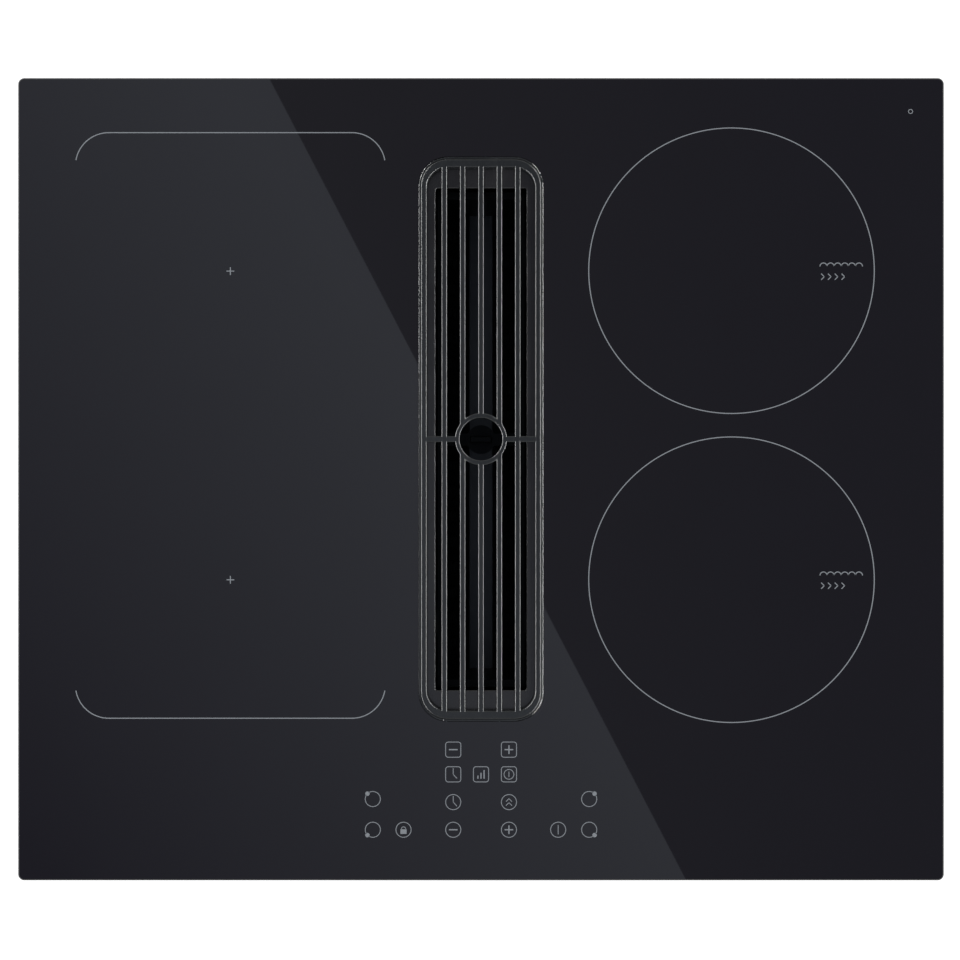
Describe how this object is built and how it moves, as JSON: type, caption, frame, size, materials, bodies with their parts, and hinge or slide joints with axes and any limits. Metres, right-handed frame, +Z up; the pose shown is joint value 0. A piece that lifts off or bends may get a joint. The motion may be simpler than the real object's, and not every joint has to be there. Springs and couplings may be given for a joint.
{
  "type": "downdraft induction cooktop",
  "caption": "Black glass induction cooktop with a central downdraft intake, a cast grille, a lift-out grease filter and a blower below with a flat duct outlet.",
  "frame": {"origin": "middle of the worktop's upper surface, under the glass, at the level the seal rests on", "axes": "+X to the cook's right, +Y towards the wall behind, +Z up through the glass"},
  "size_m": [0.6, 0.52, 0.2203],
  "materials": {
    "ceramic_glass": "polished black glass ceramic",
    "seal_foam": "closed-cell foam",
    "black_abs": "fine satin moulding",
    "enamelled_iron": "matte black enamel",
    "silicone": "matte",
    "filter_steel": "blackened stainless sheet",
    "filter_mesh": "punched and blackened",
    "housing_plastic": "fine textured moulding",
    "zinc_screw": "bright zinc",
    "motor_can": "satin",
    "ground_steel": "ground",
    "fan_plastic": "moulded nylon",
    "cup_plastic": "moulded grey",
    "galvanised_sheet": "galvanised",
    "sheet_aluminium": "mill finish",
    "litz_copper": "enamelled strands",
    "carrier_plastic": "glass-filled moulding",
    "ferrite": "sintered",
    "mica": "pressed sheet",
    "circuit_board": "solder mask",
    "component_case": "cast resin",
    "terminal_plastic": "moulded"
  },
  "bodies": {
    "hob": {"glass_top": "ceramic_glass", "glass_seal": "seal_foam", "intake_insert": "black_abs", "air_well": "housing_plastic", "well_gasket": "silicone", "plenum_cover": "housing_plastic", "plenum_walls": "housing_plastic", "plenum_floor": "housing_plastic", "volute_body": "housing_plastic", "volute_cover": "housing_plastic", "housing_screws": "zinc_screw", "fan_mounts": "silicone", "inlet_ring": "housing_plastic", "fan_motor": "motor_can", "outlet_spigot": "housing_plastic", "cup_seal": "silicone", "cup_spigot": "housing_plastic", "base_pan": "galvanised_sheet", "coil_plate_left": "sheet_aluminium", "coil_plate_right": "sheet_aluminium", "plate_posts": "ground_steel", "coil_front_left": "litz_copper", "coil_rear_left": "litz_copper", "coil_front_right": "litz_copper", "coil_rear_right": "litz_copper", "coil_carrier_front_left": "carrier_plastic", "coil_carrier_rear_left": "carrier_plastic", "coil_carrier_front_right": "carrier_plastic", "coil_carrier_rear_right": "carrier_plastic", "ferrite_bars": "ferrite", "coil_sensors": "silicone", "mica_sheets": "mica", "power_board_left": "circuit_board", "power_board_right": "circuit_board", "heatsinks": "sheet_aluminium", "power_parts": "component_case", "cooling_fan_left": "fan_plastic", "cooling_fan_right": "fan_plastic", "touch_board": "circuit_board", "touch_carrier": "carrier_plastic", "terminal_box": "carrier_plastic", "terminal_block": "terminal_plastic", "cable_gland": "black_abs", "clamp_brackets": "galvanised_sheet", "clamp_screws": "zinc_screw"},
    "grille": {"grille": "enamelled_iron", "grille_pads": "silicone"},
    "filter": {"filter_frame": "filter_steel", "filter_screen_left": "filter_mesh", "filter_screen_right": "filter_mesh", "filter_handle": "filter_steel"},
    "tray": {"drip_tray": "filter_steel"},
    "impeller": {"impeller": "fan_plastic", "motor_shaft": "ground_steel"},
    "cup": {"overflow_cup": "cup_plastic"},
    "left_rotor": {"fan_rotor_left": "fan_plastic"},
    "right_rotor": {"fan_rotor_right": "fan_plastic"},
    "top_flap": {"flap_top": "fan_plastic"},
    "middle_flap": {"flap_middle": "fan_plastic"},
    "bottom_flap": {"flap_bottom": "fan_plastic"}
  },
  "joints": [
    {"name": "tray_lift", "type": "slide", "parent": "hob", "child": "tray", "axis": [0, 0, 1], "range_m": [0, 0.2]},
    {"name": "filter_lift", "type": "slide", "parent": "tray", "child": "filter", "axis": [0, 0, 1], "range_m": [0, 0.15]},
    {"name": "grille_lift", "type": "slide", "parent": "filter", "child": "grille", "axis": [0, 0, 1], "range_m": [0, 0.08]},
    {"name": "cup_pull", "type": "slide", "parent": "hob", "child": "cup", "axis": [0, 0, -1], "range_m": [0, 0.04]},
    {"name": "impeller_spin", "type": "hinge", "parent": "hob", "child": "impeller", "pos_m": [0.152, -0.04, -0.09], "axis": [0, 0, 1], "continuous": true},
    {"name": "left_rotor_spin", "type": "hinge", "parent": "hob", "child": "left_rotor", "pos_m": [-0.162, 0.035, -0.04], "axis": [0, 0, 1], "continuous": true},
    {"name": "right_rotor_spin", "type": "hinge", "parent": "hob", "child": "right_rotor", "pos_m": [0.162, 0.035, -0.04], "axis": [0, 0, 1], "continuous": true},
    {"name": "top_flap_swing", "type": "hinge", "parent": "hob", "child": "top_flap", "pos_m": [0.156, 0.213, -0.0636], "axis": [1, 0, 0], "range_deg": [0, 75]},
    {"name": "middle_flap_swing", "type": "hinge", "parent": "hob", "child": "middle_flap", "pos_m": [0.156, 0.213, -0.09193], "axis": [1, 0, 0], "range_deg": [0, 75]},
    {"name": "bottom_flap_swing", "type": "hinge", "parent": "hob", "child": "bottom_flap", "pos_m": [0.156, 0.213, -0.12027], "axis": [1, 0, 0], "range_deg": [0, 75]}
  ]
}
